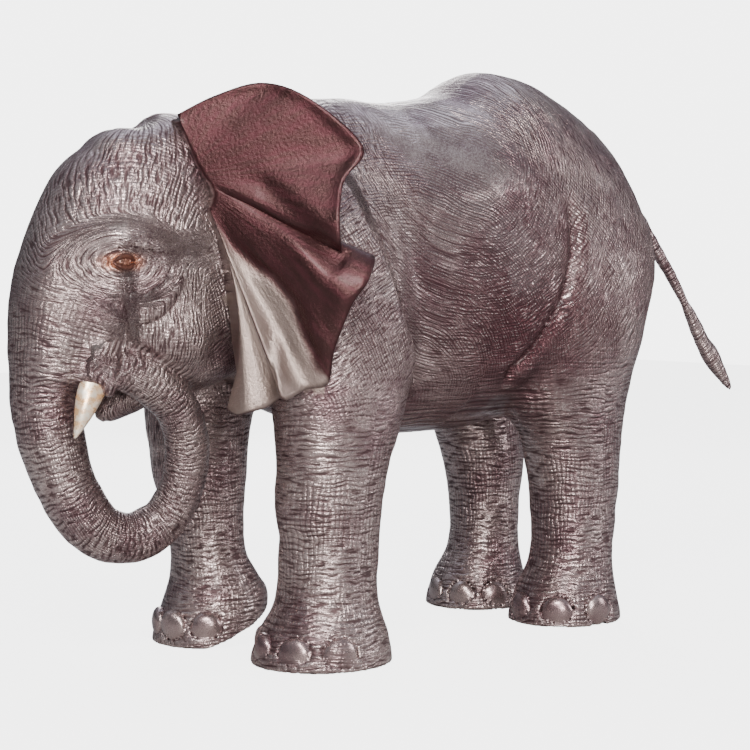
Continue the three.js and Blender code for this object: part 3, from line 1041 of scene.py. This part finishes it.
def skin_material(colours):
    """Patina over the wrinkles, with painted shade in the grooves and a painted highlight over rubbed metal on
    the ridges; smooth on the ears.
    """
    material = bpy.data.materials.new("patina")
    material.use_nodes = True
    material.node_tree.nodes.clear()
    tree = Tree(material.node_tree)
    lines = tree.split(tree.attribute("lines"))
    cross = tree.split(tree.attribute("cross"))
    around = tree.split(tree.attribute("around"))
    share = tree.split(tree.attribute("share"))
    ear = tree.split(tree.attribute("ear"))
    tone = tree.split(tree.attribute("tone"))
    hollow = tree.node("ShaderNodeAttribute", attribute_name="hollow").outputs["Fac"]
    spot = tree.node("ShaderNodeTexCoord").outputs["Object"]
    wrinkles = wrinkle_group()

    def family(lines_, cross_, hatch, deep, main=1.0):
        made = tree.node("ShaderNodeGroup", node_tree=wrinkles, inputs={
            "Lines": lines_, "Cross": cross_, "Hatch": hatch, "Main": main}).outputs[0]
        return made, tree.math("MULTIPLY", made, deep)

    turn = tree.math("ARCTAN2", around[1], around[0])
    turn = tree.math("MULTIPLY_ADD", turn, LIMB_LINES / (2 * math.pi), around[2])
    firm = tree.math("SUBTRACT", 1.0, cross[0])
    # Crossing lines and depth of the wrinkles on the body, the face and the limbs.
    families = (family(lines[1], cross[1], 0.85, 2.4, firm), family(lines[2], cross[2], 0.4, 2.3),
                family(lines[0], turn, 0.5, 2.8))
    height = tree.math("MULTIPLY", families[0][0], share[1])
    deep = tree.math("MULTIPLY", families[0][1], share[1])
    for (level, sunk), part in zip(families[1:], (share[2], share[0])):
        height = tree.math("MULTIPLY_ADD", level, part, height)
        deep = tree.math("MULTIPLY_ADD", sunk, part, deep)
    covered = tree.math("ADD", tree.math("ADD", share[0], share[1]), share[2])
    height = tree.blend(covered, 0.7, height)
    fine = tree.noise(spot, 420, 3)
    streaks = tree.noise(tree.node("ShaderNodeCombineXYZ", inputs={
        0: tree.math("MULTIPLY", ear[1], 90.0), 1: tree.math("MULTIPLY", ear[0], 5.0)}).outputs[0], 1.0, 3)
    grain = tree.noise(spot, 150, 5, 0.65)
    relief = tree.math("MULTIPLY_ADD", fine, 0.22, deep)
    relief = tree.math("MULTIPLY_ADD", tree.math("MULTIPLY", grain, ear[2]), 1.8, relief)
    relief = tree.math("MULTIPLY_ADD", tree.math("MULTIPLY", streaks, ear[2]), 0.8, relief)
    bump = tree.node("ShaderNodeBump", inputs={"Strength": 1.0, "Distance": WRINKLE_UNIT, "Height": relief})
    patches = tree.noise(spot, 7, 5, 0.62)
    base = tree.mix(tree.ramp(patches, 0.35, 0.7), colours.bronze, colours.plum)
    # Painted shade: the lower barrel and belly darkened with oxblood.
    base = tree.mix(tone[1], base, colours.oxblood)
    base = tree.mix(ear[2], base, tree.mix(tree.ramp(streaks, 0.35, 0.75), colours.ear, colours.oxblood))
    base = tree.mix(tone[2], base, colours.flap)
    base = tree.mix(tone[0], base, colours.copper)
    # Painted shade: grooves and concave places darken towards the hollow colour, over a dark patina.
    groove = tree.math("MULTIPLY", tree.ramp(height, 0.7, 0.05), covered)
    groove = tree.math("MAXIMUM", groove, tree.ramp(hollow, 0.05, 0.5))
    # Painted highlight: ridge tops and convex edges turn pale where the lights glint, in patches that also
    # stand for rubbed metal.
    rub_and_glint_spots = tree.ramp(tree.noise(spot, 300, 2), 0.42, 0.62)
    rub_and_highlight = tree.math("MULTIPLY", rub_and_glint_spots, tree.ramp(height, 0.7, 1.0))
    edge = tree.math("MULTIPLY", tree.ramp(hollow, -0.05, -0.4), 0.2)
    rub_and_highlight = tree.math("MAXIMUM", tree.math("MULTIPLY", rub_and_highlight, 0.45), edge)
    base = tree.mix(rub_and_highlight, base, colours.rub_and_highlight)
    base = tree.mix(tree.math("MULTIPLY", groove, 0.85), base, colours.hollow)
    rough = tree.blend(groove, tree.ramp(fine, 0.3, 0.7, 0.22, 0.34), 0.6)
    rough = tree.blend(ear[2], rough, tree.ramp(streaks, 0.3, 0.7, 0.3, 0.44))
    surface = tree.node("ShaderNodeBsdfPrincipled", inputs={
        "Base Color": base, "Metallic": 0.85, "Roughness": rough, "Normal": bump.outputs[0],
        "Coat Weight": 0.1, "Coat Roughness": 0.2})
    tree.node("ShaderNodeOutputMaterial", inputs={"Surface": surface.outputs[0]})
    return material


def gold_material(colours):
    """Pale gilt, deeper in patches."""
    material = bpy.data.materials.new("pale_gold")
    material.use_nodes = True
    material.node_tree.nodes.clear()
    tree = Tree(material.node_tree)
    spot = tree.node("ShaderNodeTexCoord").outputs["Object"]
    grain = tree.noise(spot, 60, 4, 0.6)
    base = tree.mix(tree.ramp(grain, 0.35, 0.7), colours.gold, colours.cream)
    bump = tree.node("ShaderNodeBump", inputs={"Strength": 0.3, "Distance": 0.0006, "Height": grain})
    surface = tree.node("ShaderNodeBsdfPrincipled", inputs={
        "Base Color": base, "Metallic": 0.55, "Roughness": tree.ramp(grain, 0.3, 0.7, 0.22, 0.36),
        "Normal": bump.outputs[0]})
    tree.node("ShaderNodeOutputMaterial", inputs={"Surface": surface.outputs[0]})
    return material


def floor_material():
    """Pale floor that runs into the backdrop: part of its brightness is shown to the camera alone."""
    material = bpy.data.materials.new("pale_floor")
    material.use_nodes = True
    tree = Tree(material.node_tree)
    shader = material.node_tree.nodes["Principled BSDF"]
    spot = tree.node("ShaderNodeTexCoord").outputs["Object"]
    speck = tree.noise(spot, 30, 3)
    tree.feed(shader.inputs["Base Color"], tree.mix(speck, (0.42, 0.41, 0.40), (0.46, 0.45, 0.44)))
    shader.inputs["Roughness"].default_value = 0.75
    shader.inputs["Emission Color"].default_value = (1, 1, 1, 1)
    seen = tree.node("ShaderNodeLightPath").outputs["Is Camera Ray"]
    tree.feed(shader.inputs["Emission Strength"], tree.math("MULTIPLY", seen, 4.0))
    return material


# ---------------------------------------------------------------------------------------------------
# Sizes and colours that a person can change, operators and panel.

class CalfSizes(bpy.types.PropertyGroup):
    pitch: FloatProperty(name="Pitch", description="Voxel size of the modelling clay", default=0.005,
                         min=0.003, unit="LENGTH")
    body_triangles: IntProperty(name="Triangles", description="Triangles of the body without its ears",
                                default=160000)


def colour(name, description, value):
    return FloatVectorProperty(name=name, description=description, subtype="COLOR", size=3, min=0, max=1,
                               default=value)


class CalfColours(bpy.types.PropertyGroup):
    bronze: colour("Bronze", "Lit metal of the skin", (0.40, 0.315, 0.305))
    plum: colour("Plum", "Darker patches of the skin", (0.20, 0.125, 0.135))
    # Oxblood paints shade on the lower barrel and belly, and is also the tone of the ears' streaks.
    oxblood: colour("Oxblood", "Rear flank and belly", (0.085, 0.028, 0.034))
    # This colour paints shade in the grooves and hollows, over a dark patina.
    hollow: colour("Hollow", "Grooves", (0.045, 0.018, 0.022))
    # This colour paints highlights on the ridges, together with rubbed metal.
    rub_and_highlight: colour("Crest", "Rubbed ridges", (0.80, 0.71, 0.68))
    ear: colour("Ear", "Polished ears", (0.06, 0.026, 0.026))
    flap: colour("Flap", "Front fold of each ear", (0.30, 0.235, 0.21))
    copper: colour("Copper", "Eyes", (0.65, 0.26, 0.15))
    gold: colour("Gold", "Edges of the tusks", (0.85, 0.50, 0.24))
    cream: colour("Cream", "Middle of the tusks", (1.0, 0.92, 0.80))


class ELEPHANT_OT_calf(bpy.types.Operator):
    """Models the bronze casting: body, head, trunk, ears, legs and tail in one piece"""
    bl_idname = "elephant.calf"
    bl_label = "Model the Calf"

    def execute(self, context):
        calf = build_calf(context.scene.calf_sizes)
        calf.data.materials.append(skin_material(context.scene.calf_colours))
        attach(calf, "root")
        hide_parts("bronze_elephant")
        return {"FINISHED"}


class ELEPHANT_OT_tusks(bpy.types.Operator):
    """Models the two gilt tusks"""
    bl_idname = "elephant.tusks"
    bl_label = "Model the Tusks"

    def execute(self, context):
        gold = gold_material(context.scene.calf_colours)
        for name, shape in (("tusk_left", loft(TUSK, sides=48, steps=90)),
                            ("tusk_right", mirror(*loft(TUSK, sides=48, steps=90)))):
            tusk = new_object("gilt_" + name, place_head(shape[0]), shape[1])
            tusk.data.materials.append(gold)
            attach(tusk, "root")
            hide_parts(name)
        return {"FINISHED"}


FLOOR_REACH = 9
FLOOR_TOP = -0.001
BACKDROP = 5.0  # brightness of the backdrop, shown to the camera alone
LIT_POINT = (-0.05, 0.05, 0.6)
# [name, place, size, watts, tint]
LIGHTS = [
    ("key", (-3.2, -2.6, 3.4), (1.5, 1.2), 230, (1.0, 0.96, 0.92)),
    ("sky", (0.6, 1.2, 4.2), (4.0, 2.5), 60, (0.72, 0.80, 1.0)),
    ("front", (-3.0, -4.6, 1.7), (1.3, 1.3), 200, (1.0, 0.95, 0.91)),
    ("side", (3.6, -3.4, 1.8), (1.2, 2.0), 90, (1.0, 0.93, 0.93)),
    ("rim", (2.5, 3.6, 2.4), (1.5, 2.5), 80, (1.0, 1.0, 1.0)),
]
# Degrees, metres and millimetres of lens and sensor.
CAMERA = {"azimuth": -42, "elevation": 3.57, "distance": 5.0, "target": (-0.0925, 0.0845, 0.589),
          "lens": 103.2, "sensor": 36}


def area_light(name, spot, size, power, tint):
    """A soft rectangular lamp that points at the calf's middle."""
    data = bpy.data.lights.new(name, "AREA")
    data.shape = "RECTANGLE"
    data.size, data.size_y = size
    data.energy = power
    data.color = tint
    lamp = bpy.data.objects.new(name, data)
    lamp.location = spot
    lamp.rotation_euler = (Vector(LIT_POINT) - Vector(spot)).to_track_quat("-Z", "Y").to_euler()
    bpy.context.scene.collection.objects.link(lamp)


class ELEPHANT_OT_stage(bpy.types.Operator):
    """Sets the pale floor, the soft lights and the camera"""
    bl_idname = "elephant.stage"
    bl_label = "Set the Stage"

    def execute(self, context):
        scene = context.scene
        signs = ((-1, -1), (1, -1), (1, 1), (-1, 1))
        corners = [(x * FLOOR_REACH, y * FLOOR_REACH, FLOOR_TOP) for x, y in signs]
        floor = new_object("floor", np.array(corners), np.array([[0, 1, 2, 3]]))
        floor.data.materials.append(floor_material())
        floor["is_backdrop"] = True
        for light in LIGHTS:
            area_light(*light)
        world = bpy.data.worlds.new("studio")
        world.use_nodes = True
        world.node_tree.nodes.clear()
        tree = Tree(world.node_tree)
        seen = tree.node("ShaderNodeLightPath").outputs["Is Camera Ray"]
        way = tree.split(tree.node("ShaderNodeTexCoord").outputs["Generated"])
        glow = tree.ramp(way[2], -0.1, 0.9, 0.06, 0.55)
        sky = tree.mix(seen, (0.84, 0.9, 1.0), (1, 1, 1))
        back = tree.node("ShaderNodeBackground", inputs={
            "Color": sky, "Strength": tree.blend(seen, glow, BACKDROP)})
        tree.node("ShaderNodeOutputWorld", inputs={"Surface": back.outputs[0]})
        scene.world = world
        azimuth, height = math.radians(CAMERA["azimuth"]), math.radians(CAMERA["elevation"])
        level = math.cos(height)
        away = Vector((math.sin(azimuth) * level, -math.cos(azimuth) * level, math.sin(height)))
        data = bpy.data.cameras.new("camera")
        data.lens, data.sensor_width = CAMERA["lens"], CAMERA["sensor"]
        camera = bpy.data.objects.new("camera", data)
        camera.location = Vector(CAMERA["target"]) + away * CAMERA["distance"]
        camera.rotation_euler = (-away).to_track_quat("-Z", "Y").to_euler()
        scene.collection.objects.link(camera)
        scene.camera = camera
        return {"FINISHED"}


class ELEPHANT_PT_panel(bpy.types.Panel):
    """Sizes and colours of the calf, and a button for each step"""
    bl_label = "Bronze Elephant Calf"
    bl_space_type = "VIEW_3D"
    bl_region_type = "UI"
    bl_category = "Elephant"

    def draw(self, context):
        for settings in (context.scene.calf_sizes, context.scene.calf_colours):
            for name in settings.bl_rna.properties.keys():
                if name not in ("rna_type", "name"):
                    self.layout.prop(settings, name)
        for step in ("calf", "tusks", "stage"):
            self.layout.operator("elephant." + step)


CLASSES = (CalfSizes, CalfColours, ELEPHANT_OT_calf, ELEPHANT_OT_tusks, ELEPHANT_OT_stage, ELEPHANT_PT_panel)


def register():
    for kind in CLASSES:
        bpy.utils.register_class(kind)
    bpy.types.Scene.calf_sizes = PointerProperty(type=CalfSizes)
    bpy.types.Scene.calf_colours = PointerProperty(type=CalfColours)


def unregister():
    del bpy.types.Scene.calf_colours
    del bpy.types.Scene.calf_sizes
    for kind in reversed(CLASSES):
        bpy.utils.unregister_class(kind)


def main():
    register()
    for step in (bpy.ops.elephant.calf, bpy.ops.elephant.tusks, bpy.ops.elephant.stage):
        step()
    boxes = [[list(corner) for corner in box] for box in (CAD_BOX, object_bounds())]


if __name__ == "__main__":
    main()
